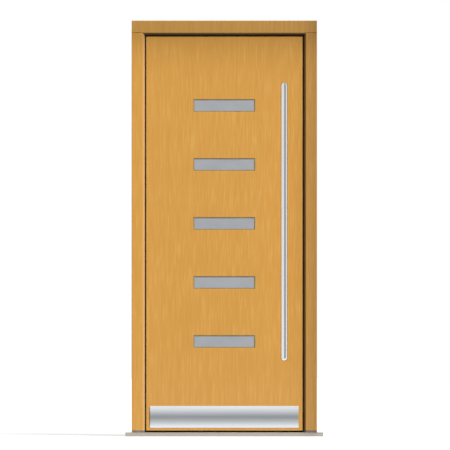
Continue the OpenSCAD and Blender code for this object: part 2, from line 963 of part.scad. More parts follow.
// The faceplate runs a little past the cams at both ends
module faceplate_outline(x) {
    z0 = cam_z[1] - faceplate_margin;
    z1 = cam_z[0] + rod_travel + faceplate_margin;
    block(x, [lock_y - faceplate_w / 2, lock_y + faceplate_w / 2], [z0, z1]);
}

module faceplate_screw_places() {
    z0 = cam_z[1] - faceplate_margin / 2;
    z1 = cam_z[0] + rod_travel + faceplate_margin / 2;
    for (z = concat([z0, z1], rod_screw_z)) {
        translate([flange_x, lock_y, z]) rotate([0, 90, 0]) children();
    }
}

module rod_groove() {
    half = rod_w / 2 + fit;
    for (s = rod_spans) {
        block(
            [faceplate_x - rod_t - 2 * fit, faceplate_x + over], [lock_y - half, lock_y + half],
            [s[0] - fit, s[1] + rod_travel + fit]
        );
    }
}

// A slot along z, open for the whole travel of the rods
module travel_slot_x(r, x, z) {
    bar_x(r, x, lock_y, z);
    bar_x(r, x, lock_y, z + rod_travel);
    block(x, [lock_y - r, lock_y + r], [z, z + rod_travel]);
}

module lock_faceplate() {
    x = [faceplate_x - over, flange_x + over];
    color(steel) difference() {
        faceplate_outline([faceplate_x, flange_x]);
        bolt_openings(x);
        for (z = cam_z) travel_slot_x(cam_stem_r + fit, x, z);
        faceplate_screw_places() wood_screw(strike_screw_len, hole_slack);
    }
}

// Guides of the latch bolt and the dead bolt
module bolt_openings(x) {
    bolt_cut(x, latch_z, latch_t, latch_h, fit);
    bolt_cut(x, bolt_z, bolt_t, bolt_h, fit);
}

module faceplate_screws() {
    color(steel) faceplate_screw_places() wood_screw(strike_screw_len);
}

module lock_case() {
    color("#9a9da0") difference() {
        block([case_x0, faceplate_x], case_y, [case_z0, case_z1]);
        block(
            [case_x0 + case_wall, faceplate_x - case_wall], [lock_y - case_in, lock_y + case_in],
            [case_z0 + case_wall, case_z1 - case_wall]
        );
        bolt_openings([faceplate_x - case_wall - over, faceplate_x + over]);
        bar_y(journal_r + run, lever_x, [lock_y - case_t, lock_y + case_t], lever_z);
        prism_y([lock_y, lock_y + case_t]) cylinder_section(fit);
    }
}

// Outline of the profile cylinder: a round barrel above a narrow web
module cylinder_section(grow = 0) {
    web_r = cylinder_web_w / 2;
    translate([lever_x, turn_z]) {
        circle(r = cylinder_r + grow);
        translate([-web_r - grow, cylinder_r + web_r - cylinder_h]) {
            square([cylinder_web_w + 2 * grow, cylinder_h - cylinder_r - web_r]);
        }
        translate([0, cylinder_r + web_r - cylinder_h]) circle(r = web_r + grow);
    }
}

module lock_cylinder() {
    color(steel) difference() {
        prism_y([cylinder_y0 + turn_cam_t, cylinder_y1]) cylinder_section();
        bar_y(turn_stem_r + run, lever_x, [cylinder_y0, cylinder_y1 + over], turn_z);
    }
}

module thumb_turn() {
    knob_y = cylinder_y1 + fit;
    color(steel) {
        bar_y(turn_cam_r, lever_x, [cylinder_y0, cylinder_y0 + turn_cam_t - fit], turn_z);
        bar_y(turn_stem_r, lever_x, [cylinder_y0, knob_y], turn_z);
        bar_y(turn_knob_r, lever_x, [knob_y, knob_y + turn_disc_t], turn_z);
        intersection() {
            bar_y(turn_knob_r, lever_x, [knob_y, knob_y + turn_disc_t + turn_wing_h], turn_z);
            block(
                [lever_x - turn_knob_r, lever_x + turn_knob_r],
                [knob_y, knob_y + turn_disc_t + turn_wing_h],
                [turn_z - turn_wing_t / 2, turn_z + turn_wing_t / 2]
            );
        }
    }
}

// A round plate on the inner panel with a bevelled front edge
module rose_blank(z) {
    bevel_y = leaf_y1 + rose_t - rose_edge;
    bar_y(rose_d / 2, lever_x, [leaf_y1, bevel_y], z);
    translate([lever_x, bevel_y, z]) rotate([-90, 0, 0]) {
        cylinder(h = rose_edge, r1 = rose_d / 2, r2 = rose_d / 2 - rose_edge);
    }
}

module lever_rose() {
    color(steel) difference() {
        rose_blank(lever_z);
        bar_y(neck_r + run, lever_x, [leaf_y1 - over, leaf_y1 + rose_t + over], lever_z);
    }
}

module turn_rose() {
    color(steel) difference() {
        rose_blank(turn_z);
        prism_y([leaf_y1 - over, leaf_y1 + rose_t + over]) cylinder_section(fit);
    }
}

// A square bar along y on the lever's axis
module spindle(w, y) {
    block([lever_x - w / 2, lever_x + w / 2], y, [lever_z - w / 2, lever_z + w / 2]);
}

// The grip turns away from the lock edge and ends in a dome
module lever_handle() {
    color(steel) difference() {
        union() {
            bar_y(neck_r, lever_x, [leaf_y1 + neck_lift, grip_y], lever_z);
            translate([lever_x, grip_y, lever_z]) sphere(r = grip_r);
            bar_x(grip_r, [lever_x - lever_len, lever_x], grip_y, lever_z);
            translate([lever_x - lever_len, grip_y, lever_z]) sphere(r = grip_r);
        }
        spindle(spindle_w + 2 * run, [leaf_y1, leaf_y1 + neck_lift + spindle_grip]);
    }
}

// The follower turns in the case and its arm draws the latch; the square spindle is fixed in it
module latch_follower() {
    color("#8a8d8f") {
        bar_y(follower_r, lever_x, [lock_y - case_in + fit, lock_y + case_in - fit], lever_z);
        bar_y(journal_r, lever_x, [lock_y - case_t / 2, lock_y + case_t / 2], lever_z);
        spindle(spindle_w, [lock_y, leaf_y1 + neck_lift + spindle_grip - fit]);
        block(
            [lever_x - arm_tip_r, lever_x + arm_tip_r], [lock_y - latch_t / 2, lock_y + latch_t / 2],
            [lever_z, lever_z + arm_r]
        );
        bar_y(arm_tip_r, lever_x, [lock_y - latch_t / 2, lock_y + latch_t / 2], lever_z + arm_r);
    }
}

// The latch bolt is bevelled towards the outside
module latch_bolt() {
    tip_x = flange_x + latch_throw;
    y0 = lock_y - latch_t / 2;
    y1 = lock_y + latch_t / 2;
    hook_x = lever_x - arm_tip_r - fit;
    color("#9a9da0") {
        translate([0, 0, latch_z - latch_h / 2]) linear_extrude(latch_h) {
            polygon([
                [tip_x - latch_throw - latch_head_len, y0], [flange_x, y0],
                [tip_x, y1 - latch_tip], [tip_x, y1], [tip_x - latch_throw - latch_head_len, y1]
            ]);
        }
        block([hook_x - hook_w, flange_x - latch_head_len], [y0, y1], [tail_z, tail_z + tail_h]);
        block([hook_x - hook_w, hook_x], [y0, y1], [hook_z, tail_z]);
    }
}

module dead_bolt() {
    x1 = flange_x - fit;
    color("#9a9da0") bolt_cut([x1 - bolt_len, x1], bolt_z, bolt_t, bolt_h);
}

// Two flat rods behind the faceplate, each with a riveted mushroom cam
module drive_rods() {
    x1 = faceplate_x - fit;
    color("#8a8d8f") {
        difference() {
            for (s = rod_spans) block([x1 - rod_t, x1], [lock_y - rod_w / 2, lock_y + rod_w / 2], s);
            for (z = rod_screw_z) {
                travel_slot_x(screw_d / 2 + fit, [x1 - rod_t - over, x1 + over], z - rod_travel);
            }
        }
        for (z = cam_z) {
            bar_x(cam_stem_r, [x1 - rod_t, flange_x + cam_lift], lock_y, z);
            bar_x(cam_r, [flange_x + cam_lift, flange_x + cam_reach], lock_y, z);
        }
    }
}

hinge_jamb();
lock_jamb();
frame_head();
sill();
sill_strip();
jamb_feet();
frame_gasket();
frame_screws();
hinge_frame_wings();
hinge_pins();
hinge_frame_screws();
strike_plate();
roller_keeps();
strike_screws();
outer_panel();
inner_panel();
hinge_stile();
lock_stile();
top_rail();
bottom_rail();
core();
outer_pane(1);  // outer_pane_1
outer_pane(2);  // outer_pane_2
outer_pane(3);  // outer_pane_3
outer_pane(4);  // outer_pane_4
outer_pane(5);  // outer_pane_5
inner_pane(1);  // inner_pane_1
inner_pane(2);  // inner_pane_2
inner_pane(3);  // inner_pane_3
inner_pane(4);  // inner_pane_4
inner_pane(5);  // inner_pane_5
bead(1);  // bead_1
bead(2);  // bead_2
bead(3);  // bead_3
bead(4);  // bead_4
bead(5);  // bead_5
pane_spacers();
pane_gaskets();
kick_plate();
pull_bar();
pull_posts();
pull_bolts();
hinge_leaf_wings();
hinge_bushes();
hinge_leaf_screws();
bottom_seal_rail();
bottom_seal_lip();
lock_case();
lock_faceplate();
faceplate_screws();
lock_cylinder();
lever_rose();
turn_rose();
lever_handle();
latch_follower();
latch_bolt();
drive_rods();
thumb_turn();
dead_bolt();
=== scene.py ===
"""Dresses a wooden front door with its frame, windows, pull bar, hinges and lock.

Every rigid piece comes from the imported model. The classes below ease its edges, make the screws,
lay the seal round the leaf, give each piece its finish and set up a plain studio in front of the door.
Lengths are in metres in the model's own frame: x to the right, y into the house, z up.
"""

import json
import logging
import math
from abc import ABC, abstractmethod
from collections.abc import Iterator
from dataclasses import dataclass
from enum import Enum
from functools import cache
from typing import ClassVar

import bmesh
import bpy
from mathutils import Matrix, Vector

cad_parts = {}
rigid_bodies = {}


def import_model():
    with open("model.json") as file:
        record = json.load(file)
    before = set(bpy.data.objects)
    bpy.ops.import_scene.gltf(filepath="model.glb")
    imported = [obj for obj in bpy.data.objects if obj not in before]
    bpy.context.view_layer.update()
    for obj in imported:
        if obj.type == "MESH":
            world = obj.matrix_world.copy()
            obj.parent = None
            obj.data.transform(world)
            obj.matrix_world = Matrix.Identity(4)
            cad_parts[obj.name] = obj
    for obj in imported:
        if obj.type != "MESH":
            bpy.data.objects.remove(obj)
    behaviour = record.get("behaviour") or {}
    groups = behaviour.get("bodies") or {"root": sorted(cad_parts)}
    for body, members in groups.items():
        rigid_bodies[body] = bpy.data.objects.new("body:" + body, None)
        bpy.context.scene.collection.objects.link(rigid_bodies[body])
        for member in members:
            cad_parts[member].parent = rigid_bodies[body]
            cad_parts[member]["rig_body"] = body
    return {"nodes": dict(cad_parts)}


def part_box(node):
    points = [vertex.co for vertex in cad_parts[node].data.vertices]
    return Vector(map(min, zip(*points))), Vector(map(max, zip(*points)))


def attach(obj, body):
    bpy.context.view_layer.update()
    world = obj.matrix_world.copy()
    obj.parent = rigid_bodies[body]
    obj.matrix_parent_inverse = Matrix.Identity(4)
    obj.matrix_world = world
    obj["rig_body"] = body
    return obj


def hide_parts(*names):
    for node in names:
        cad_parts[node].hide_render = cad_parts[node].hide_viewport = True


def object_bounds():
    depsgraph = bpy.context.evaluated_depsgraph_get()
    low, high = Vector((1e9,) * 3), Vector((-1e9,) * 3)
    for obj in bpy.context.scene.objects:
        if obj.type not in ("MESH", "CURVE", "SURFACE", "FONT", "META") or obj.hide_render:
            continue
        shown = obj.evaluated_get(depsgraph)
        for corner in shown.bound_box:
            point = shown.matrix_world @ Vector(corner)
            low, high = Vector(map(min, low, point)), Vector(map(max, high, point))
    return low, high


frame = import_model()
CAD_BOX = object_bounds()

WINDOWS = range(1, 6)
MERGE_WITHIN = 1e-6
FLAT_WITHIN = math.radians(0.5)
SHARP_OVER = math.radians(40)
SMOOTH_UNDER = math.radians(32)

# Lines of the frame that finishes and edges follow
LIP_ROUND = 0.0125
SILL_CHAMFER = 0.005
HEAD_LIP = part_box("frame_head")[0].z
LOCK_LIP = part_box("lock_jamb")[0].x
HINGE_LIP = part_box("hinge_jamb")[1].x
SILL_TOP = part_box("sill")[1].z

# Sockets of a Mix node that mixes colours
MIX_SHARE, MIX_FIRST, MIX_SECOND, MIX_RESULT = 0, 6, 7, 2

log = logging.getLogger("front_door")

Rgb = tuple[int, int, int]
Triple = tuple[float, float, float]


class Grain(Enum):
    """The axis along which wood grain or brush marks run."""

    ACROSS = 0
    INWARD = 1
    UPRIGHT = 2

    def stretch(self, fine: float, long: float) -> Triple:
        """Gives the pattern's scale on each axis.

        Args:
            fine: Marks per metre across the grain.
            long: Marks per metre along the grain.

        Returns:
            The scale on x, y and z.
        """
        scale = [fine, fine, fine]
        scale[self.value] = long
        return scale[0], scale[1], scale[2]


def linear(colour: Rgb) -> tuple[float, float, float, float]:
    """Turns a display colour into the linear colour that shaders take.

    Args:
        colour: Red, green and blue from 0 to 255.

    Returns:
        Linear red, green and blue from 0 to 1, and full alpha.
    """
    shares = [value / 255 for value in colour]
    red, green, blue = (s / 12.92 if s <= 0.04045 else ((s + 0.055) / 1.055) ** 2.4 for s in shares)
    return red, green, blue, 1.0


class ShaderGraph:
    """A material's nodes round one Principled shader."""

    def __init__(self, name: str) -> None:
        """Starts a material.

        Args:
            name: The material's name.
        """
        self.material = bpy.data.materials.new(name)
        self.material.use_nodes = True
        self.tree = self.material.node_tree
        self.tree.nodes.clear()
        self.shader = self.node("ShaderNodeBsdfPrincipled")
        self.place = self.node("ShaderNodeTexCoord").outputs["Object"]
        output = self.node("ShaderNodeOutputMaterial")
        self.tree.links.new(self.shader.outputs[0], output.inputs["Surface"])

    def node(self, kind: str, **settings: object) -> bpy.types.Node:
        """Adds a node.

        Args:
            kind: The node's type name.
            settings: Values of its properties.

        Returns:
            The new node.
        """
        made = self.tree.nodes.new(kind)
        for key, value in settings.items():
            setattr(made, key, value)
        return made

    def feed(self, target: bpy.types.NodeSocket, value: object) -> None:
        """Links a socket to another, or sets its plain value.

        Args:
            target: The input socket.
            value: An output socket, a number or a colour.
        """
        if isinstance(value, bpy.types.NodeSocket):
            self.tree.links.new(value, target)
        else:
            target.default_value = value

    def shade(self, **values: object) -> None:
        """Feeds sockets of the Principled shader, named with _ for a space."""
        for key, value in values.items():
            self.feed(self.shader.inputs[key.replace("_", " ")], value)

    def noise(self, stretch: Triple, detail: float = 2.0) -> bpy.types.NodeSocket:
        """Adds noise on Object coordinates.

        Args:
            stretch: Scale on x, y and z, in marks per metre.
            detail: Octaves of finer noise.

        Returns:
            The noise value.
        """
        mapping = self.node("ShaderNodeMapping")
        mapping.inputs["Scale"].default_value = stretch
        noise = self.node("ShaderNodeTexNoise")
        noise.inputs["Scale"].default_value = 1.0
        noise.inputs["Detail"].default_value = detail
        self.feed(mapping.inputs["Vector"], self.place)
        self.feed(noise.inputs["Vector"], mapping.outputs[0])
        return noise.outputs[0]

    def spread(self, value: bpy.types.NodeSocket, low: float, high: float, top: float = 1.0,
               base: float = 0.0) -> bpy.types.NodeSocket:
        """Maps a value's range from low to high onto base to top.

        Args:
            value: The value to map.
            low: Where the range starts.
            high: Where it ends.
            top: The result at high.
            base: The result at low.

        Returns:
            The mapped value, held between base and top.
        """
        ranged = self.node("ShaderNodeMapRange")
        for slot, item in zip(ranged.inputs, (value, low, high, base, top)):
            self.feed(slot, item)
        return ranged.outputs[0]

    def along(self, axis: str, start: float, end: float, top: float = 0.9) -> bpy.types.NodeSocket:
        """Rises along an axis of the Object coordinates.

        Args:
            axis: X, Y or Z.
            start: Where the rise starts from 0.
            end: Where it ends.
            top: The value there and beyond.

        Returns:
            The rising value.
        """
        apart = self.node("ShaderNodeSeparateXYZ")
        self.feed(apart.inputs[0], self.place)
        return self.spread(apart.outputs[axis], start, end, top)

    def mix(self, factor: object, first: object, second: object) -> bpy.types.NodeSocket:
        """Mixes two colours.

        Args:
            factor: Share of the second colour.
            first: A colour or a socket.
            second: A colour or a socket.

        Returns:
            The mixed colour.
        """
        mixer = self.node("ShaderNodeMix", data_type="RGBA")
        for index, item in ((MIX_SHARE, factor), (MIX_FIRST, first), (MIX_SECOND, second)):
            self.feed(mixer.inputs[index], item)
        return mixer.outputs[MIX_RESULT]

    def bump(self, height: bpy.types.NodeSocket, depth: float, strength: float = 1.0) -> None:
        """Raises the surface by a height pattern.

        Args:
            height: The pattern, from 0 to 1.
            depth: Its depth in metres.
            strength: How much of it shows.
        """
        bump = self.node("ShaderNodeBump")
        bump.inputs["Distance"].default_value = depth
        bump.inputs["Strength"].default_value = strength
        self.feed(bump.inputs["Height"], height)
        self.feed(self.shader.inputs["Normal"], bump.outputs[0])


@dataclass(frozen=True)
class Pattern:
    """A noise pattern and the part of its range that shows.

    The marks per metre are fine across the grain and long along it.
    """

    fine: float
    long: float
    low: float
    high: float
    top: float = 1.0
    detail: float = 2.0

    def noise(self, graph: ShaderGraph, grain: Grain = Grain.UPRIGHT) -> bpy.types.NodeSocket:
        """Adds the pattern's noise to a graph.

        Args:
            graph: The graph.
            grain: The axis along which the pattern runs.

        Returns:
            The plain noise.
        """
        return graph.noise(grain.stretch(self.fine, self.long), self.detail)

    def shown(self, graph: ShaderGraph, grain: Grain = Grain.UPRIGHT) -> bpy.types.NodeSocket:
        """Adds the part of the pattern that shows.

        Args:
            graph: The graph.
            grain: The axis along which the pattern runs.

        Returns:
            A value from 0 to the pattern's top.
        """
        return graph.spread(self.noise(graph, grain), self.low, self.high, self.top)


@dataclass(frozen=True)
class PaintedEdgeLight:
    """A painted shade or painted highlight that rises along an axis, from one distance off a line to another.
    """

    colour: Rgb
    axis: str
    line: float
    start: float
    full: float

    def over(self, graph: ShaderGraph, tone: bpy.types.NodeSocket) -> bpy.types.NodeSocket:
        """Lays the tone over a colour.

        Args:
            graph: The graph.
            tone: The colour below.

        Returns:
            The mixed colour.
        """
        rise = graph.along(self.axis, self.line + self.start, self.line + self.full)
        return graph.mix(rise, tone, linear(self.colour))


@dataclass(frozen=True)
class Finish(ABC):
    """A surface finish and the record's slot that it stands for."""

    name: str
    slot: str
    colour: Rgb

    @abstractmethod
    def fill(self, graph: ShaderGraph) -> None:
        """Adds the finish's nodes to a graph."""


@cache
def material_of(finish: Finish) -> bpy.types.Material:
    """Makes a finish's material once.

    Args:
        finish: The finish.

    Returns:
        Its material.
    """
    graph = ShaderGraph(finish.name)
    finish.fill(graph)
    return graph.material


@dataclass(frozen=True)
class WoodFinish(Finish):
    """Lacquered wood with fine, soft streaks along the grain."""

    STREAKS: ClassVar[Pattern] = Pattern(160, 7.0, 0.47, 0.70, top=0.85, detail=3)
    BANDS: ClassVar[Pattern] = Pattern(26, 1.1, 0.40, 0.66, top=0.24)
    BLOTCHES: ClassVar[Pattern] = Pattern(7, 7, 0.42, 0.70, top=0.18)
    PORES: ClassVar[Pattern] = Pattern(900, 16, 0.58, 0.70, top=0.42, detail=1)

    streak: Rgb = (221, 169, 93)
    shadow: Rgb = (199, 143, 66)
    grain: Grain = Grain.UPRIGHT
    gloss: float = 0.42
    scatter: float = 0.10
    sheen: float = 0.22
    relief: float = 0.00006
    relief_share: float = 0.6
    edge: PaintedEdgeLight | None = None

    def fill(self, graph: ShaderGraph) -> None:
        """Adds streaks, broad bands, soft blotches, pores and, where given, a painted shade or painted
        highlight along the frame's lip.
        """
        streaks = self.STREAKS.shown(graph, self.grain)
        bands = self.BANDS.shown(graph, self.grain)
        blotches = self.BLOTCHES.shown(graph)
        pores = self.PORES.shown(graph, self.grain)
        deep = self.PORES.top
        dark = linear(self.shadow)
        tone = graph.mix(bands, linear(self.colour), dark)
        tone = graph.mix(streaks, tone, linear(self.streak))
        tone = graph.mix(blotches, tone, dark)
        tone = graph.mix(pores, tone, dark)
        # The edge tone is painted light: painted shade on the head's and lock jamb's lips, a painted
        # highlight on the hinge jamb's lip.
        if self.edge is not None:
            tone = self.edge.over(graph, tone)
        graph.shade(Base_Color=tone, Specular_IOR_Level=self.sheen)
        graph.shade(Roughness=graph.spread(pores, 0.0, deep, self.gloss + self.scatter, self.gloss))
        graph.bump(graph.spread(pores, 0.0, deep, top=0.0, base=1.0), self.relief, self.relief_share)


@dataclass(frozen=True)
class SteelFinish(Finish):
    """Brushed metal with fine marks along one axis."""

    SMUDGES: ClassVar[Pattern] = Pattern(9, 9, 0.45, 0.70)
    TONES: ClassVar[tuple[float, float]] = (0.40, 0.66)
    GLOSSES: ClassVar[tuple[float, float]] = (0.36, 0.68)
    DULLED: ClassVar[float] = 0.93

    brush: Grain = Grain.UPRIGHT
    gloss: float = 0.20
    scatter: float = 0.10
    marks: float = 1400.0
    long_marks: float = 5.0
    mark_detail: float = 3.0
    relief: float = 0.00001
    relief_share: float = 0.5
    smudge: float = 0.04

    def fill(self, graph: ShaderGraph) -> None:
        """Adds brush marks to the colour, the gloss and the surface."""
        brushed = graph.noise(self.brush.stretch(self.marks, self.long_marks), self.mark_detail)
        smudges = self.SMUDGES.noise(graph)
        bright = linear(self.colour)
        dull = linear(tuple(round(value * self.DULLED) for value in self.colour))
        tone = graph.mix(graph.spread(brushed, *self.TONES), bright, dull)
        graph.shade(Base_Color=tone, Metallic=1.0)
        rough = graph.spread(brushed, *self.GLOSSES, top=self.gloss + self.scatter, base=self.gloss)
        soft = graph.node("ShaderNodeMath", operation="ADD")
        graph.feed(soft.inputs[0], rough)
        graph.feed(soft.inputs[1], graph.spread(smudges, self.SMUDGES.low, self.SMUDGES.high, self.smudge))
        graph.shade(Roughness=soft.outputs[0])
        graph.bump(brushed, self.relief, self.relief_share)


@dataclass(frozen=True)
class GlassFinish(Finish):
    """Satin glass with faint clouds."""

    CLOUDS: ClassVar[Pattern] = Pattern(11, 17, 0.36, 0.66, detail=3)
    ETCHED: ClassVar[Pattern] = Pattern(1600, 1600, 0.35, 0.65, detail=1)

    cloud: Rgb = (160, 163, 167)
    gloss: float = 0.34
    scatter: float = 0.08
    sheen: float = 0.25
    relief: float = 0.00002
    relief_share: float = 0.3

    def fill(self, graph: ShaderGraph) -> None:
        """Adds soft clouds and a fine etched grain."""
        clouds = self.CLOUDS.shown(graph)
        etched = self.ETCHED.noise(graph)
        rough = graph.spread(etched, self.ETCHED.low, self.ETCHED.high, self.gloss + self.scatter, self.gloss)
        graph.shade(Base_Color=graph.mix(clouds, linear(self.colour), linear(self.cloud)))
        graph.shade(Roughness=rough, Specular_IOR_Level=self.sheen)
        graph.bump(etched, self.relief, self.relief_share)


@dataclass(frozen=True)
class MouldedFinish(Finish):
    """Rubber or plastic with a fine moulded grain."""

    GRIT: ClassVar[Pattern] = Pattern(700, 700, 0.35, 0.65)
    TONES: ClassVar[Pattern] = Pattern(30, 30, 0.40, 0.70, detail=3)
    PALER: ClassVar[float] = 1.12
    LIFTED: ClassVar[int] = 4

    gloss: float = 0.55
    scatter: float = 0.12
    sheen: float = 0.3
    relief: float = 0.00008
    relief_share: float = 0.5

    def fill(self, graph: ShaderGraph) -> None:
        """Adds a fine grain and faint changes of tone."""
        grit = self.GRIT.noise(graph)
        worn = tuple(min(255, round(value * self.PALER) + self.LIFTED) for value in self.colour)
        rough = graph.spread(grit, self.GRIT.low, self.GRIT.high, self.gloss + self.scatter, self.gloss)
        graph.shade(Base_Color=graph.mix(self.TONES.shown(graph), linear(self.colour), linear(worn)))
        graph.shade(Roughness=rough, Specular_IOR_Level=self.sheen)
        graph.bump(grit, self.relief, self.relief_share)


@dataclass(frozen=True)
class StoneFinish(Finish):
    """Honed stone with fine speckles and faint patches."""

    SPECKLES: ClassVar[Pattern] = Pattern(520, 520, 0.52, 0.70, top=0.8)
    PATCHES: ClassVar[Pattern] = Pattern(14, 14, 0.40, 0.68, top=0.5, detail=4)
    PALER: ClassVar[int] = 8

    edge: PaintedEdgeLight
    speckle: Rgb = (168, 161, 150)
    gloss: float = 0.55
    scatter: float = 0.15
    sheen: float = 0.3
    relief: float = 0.00010
    relief_share: float = 0.4

    def fill(self, graph: ShaderGraph) -> None:
        """Adds speckles, patches, a painted shade along the upper edge and a fine honed grain."""
        speckles = self.SPECKLES.shown(graph)
        patches = self.PATCHES.shown(graph)
        deep = self.SPECKLES.top
        pale = linear(tuple(min(255, value + self.PALER) for value in self.colour))
        tone = graph.mix(patches, linear(self.colour), pale)
        tone = graph.mix(speckles, tone, linear(self.speckle))
        graph.shade(Base_Color=self.edge.over(graph, tone), Specular_IOR_Level=self.sheen)
        graph.shade(Roughness=graph.spread(speckles, 0.0, deep, self.gloss + self.scatter, self.gloss))
        graph.bump(speckles, self.relief, self.relief_share)


@dataclass(frozen=True)
class BoardFinish(Finish):
    """Pressed board with flakes of two tones."""

    FLAKES: ClassVar[Pattern] = Pattern(260, 90, 0.40, 0.62, detail=3)

    flake: Rgb = (190, 158, 108)
    gloss: float = 0.7
    scatter: float = 0.15
    relief: float = 0.0002
    relief_share: float = 0.5

    def fill(self, graph: ShaderGraph) -> None:
        """Adds flakes and a rough pressed surface."""
        flakes = self.FLAKES.shown(graph, Grain.INWARD)
        graph.shade(Base_Color=graph.mix(flakes, linear(self.colour), linear(self.flake)))
        graph.shade(Roughness=graph.spread(flakes, 0.0, 1.0, self.gloss + self.scatter, self.gloss))
        graph.bump(flakes, self.relief, self.relief_share)


# Painted shade and highlight on edges, by their distance from the frame's lips and from the sill's chamfer
# Painted shade: the head's and lock jamb's lips darken towards the leaf as if in shadow.
HEAD_LIP_PAINTED_SHADE = PaintedEdgeLight((92, 80, 58), "Z", HEAD_LIP, 0.0167, 0.0103)
LOCK_LIP_PAINTED_SHADE = PaintedEdgeLight((104, 90, 65), "X", LOCK_LIP, 0.0150, 0.0045)
# Painted highlight: a paler, greyer band along the hinge jamb's lip stands in for the sheen of the lit edge.
HINGE_LIP_PAINTED_HIGHLIGHT = PaintedEdgeLight((188, 155, 104), "X", HINGE_LIP, -0.0125, -0.0080)
# Painted shade: the sill's chamfer and top are darker, in place of the shade in the gap under the leaf.
SILL_TOP_PAINTED_SHADE = PaintedEdgeLight((142, 137, 129), "Z", SILL_TOP - SILL_CHAMFER, -0.0006, 0.0006)

LEAF_WOOD = WoodFinish("leaf_wood_lacquered", "leaf_wood", (211, 155, 74))
# Painted shade: the head and the lock jamb take duller copies of the frame wood, the lock jamb's also darker,
# which stand in for the shade on them.
HEAD_WOOD_SHADED = WoodFinish("head_wood_lacquered", "frame_wood", (211, 158, 81), (220, 171, 99), (198, 146, 74),
                       edge=HEAD_LIP_PAINTED_SHADE)
LOCK_JAMB_WOOD_SHADED = WoodFinish("lock_jamb_wood_lacquered", "frame_wood", (206, 153, 78), (215, 166, 95),
                            (193, 141, 71), edge=LOCK_LIP_PAINTED_SHADE)
HINGE_JAMB_WOOD = WoodFinish("hinge_jamb_wood_lacquered", "frame_wood", (213, 156, 74), edge=HINGE_LIP_PAINTED_HIGHLIGHT)
INSIDE_WOOD = WoodFinish("inside_wood_lacquered", "inside_wood", (212, 157, 80))
RAIL_WOOD = WoodFinish("rail_wood_sawn", "inside_wood", (212, 157, 80), grain=Grain.ACROSS, gloss=0.6)
CORE_BOARD = BoardFinish("core_board_pressed", "core_board", (216, 192, 144))
SILL_STONE = StoneFinish("sill_stone_honed", "sill_stone", (182, 175, 164), SILL_TOP_PAINTED_SHADE)
SILL_METAL = SteelFinish("sill_strip_brushed", "sill_metal", (205, 206, 206), Grain.ACROSS, 0.32)
FOOT_PLASTIC = MouldedFinish("foot_plastic_moulded", "foot_plastic", (108, 104, 97))
SEAL_RUBBER = MouldedFinish("seal_rubber_black", "seal_rubber", (34, 27, 20), gloss=0.62)
PANE_RUBBER = MouldedFinish("pane_rubber_olive", "seal_rubber", (126, 114, 86), gloss=0.62)
BAR_STEEL = SteelFinish("bar_steel_brushed", "stainless", (223, 226, 229), gloss=0.12, scatter=0.03,
                        marks=2400.0, relief=0.0000005, smudge=0.01)
PLATE_STEEL = SteelFinish("plate_steel_brushed", "stainless", (208, 212, 215), Grain.ACROSS, 0.12, 0.03,
                          marks=4000.0, relief=0.0000005, smudge=0.01)
FITTING_STEEL = SteelFinish("fitting_steel_satin", "stainless", (190, 192, 194), gloss=0.26)
LOCK_STEEL = SteelFinish("lock_steel_plain", "lock_steel", (178, 179, 181), gloss=0.30, marks=600.0)
SATIN_GLASS = GlassFinish("satin_glass_etched", "satin_glass", (166, 169, 173))


def body_of(node: str) -> str:
    """Names the body that a CAD node moves with."""
    return frame["nodes"][node]["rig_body"]


def merged_copy(node: str) -> bmesh.types.BMesh:
    """Copies a CAD node's mesh and joins its loose triangles.

    Args:
        node: The node's name.

    Returns:
        A mesh with shared vertices and flat faces in one piece.
    """
    mesh = bmesh.new()
    mesh.from_mesh(frame["nodes"][node].data)
    bmesh.ops.remove_doubles(mesh, verts=mesh.verts, dist=MERGE_WITHIN)
    bmesh.ops.dissolve_limit(mesh, angle_limit=FLAT_WITHIN, verts=mesh.verts, edges=mesh.edges)
    return mesh


def solids_of(node: str) -> Iterator[tuple[Vector, Vector]]:
    """Finds the separate solids of a CAD node.

    Args:
        node: The node's name.

    Yields:
        The lowest and highest corner of each solid.
    """
    mesh = merged_copy(node)
    waiting = set(mesh.verts)
    while waiting:
        group = [waiting.pop()]
        for vert in group:
            near = {edge.other_vert(vert) for edge in vert.link_edges} & waiting
            waiting -= near
            group.extend(near)
        low = Vector([min(vert.co[axis] for vert in group) for axis in range(3)])
        high = Vector([max(vert.co[axis] for vert in group) for axis in range(3)])
        yield low, high
    mesh.free()


def place(mesh: bmesh.types.BMesh, name: str, body: str, finish: Finish, *nodes: str) -> bpy.types.Object:
    """Turns a mesh into a dressed piece on a body.

    Args:
        mesh: The piece's mesh, which is freed.
        name: The piece's name.
        body: The body that it rides on.
        finish: Its finish.
        nodes: The CAD nodes that it stands for.

    Returns:
        The new object.
    """
    data = bpy.data.meshes.new(name)
    mesh.to_mesh(data)
    mesh.free()
    data.shade_smooth()
    data.set_sharp_from_angle(angle=SMOOTH_UNDER)
    data.materials.append(material_of(finish))
    piece = bpy.data.objects.new(name, data)
    bpy.context.scene.collection.objects.link(piece)
    flat = piece.modifiers.new("flat_faces", "WEIGHTED_NORMAL")
    flat.keep_sharp = True
    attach(piece, body)
    if nodes:
        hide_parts(*nodes)
    log.info("%s rides on %s in %s", name, body, finish.name)
    return piece


def dress(finish: Finish, *nodes: str) -> None:
    """Gives CAD nodes a finish through their material slots.

    Args:
        finish: The finish.
        nodes: The nodes' names.
    """
    for node in nodes:
        for holder in frame["nodes"][node].material_slots:
            holder.material = material_of(finish)
        log.info("%s keeps its solid in %s", node, finish.name)


def within(edge: bmesh.types.BMEdge, axis: int, low: float, high: float) -> bool:
    """Tells whether an edge lies between two places on an axis."""
    return all(low <= vert.co[axis] <= high for vert in edge.verts)


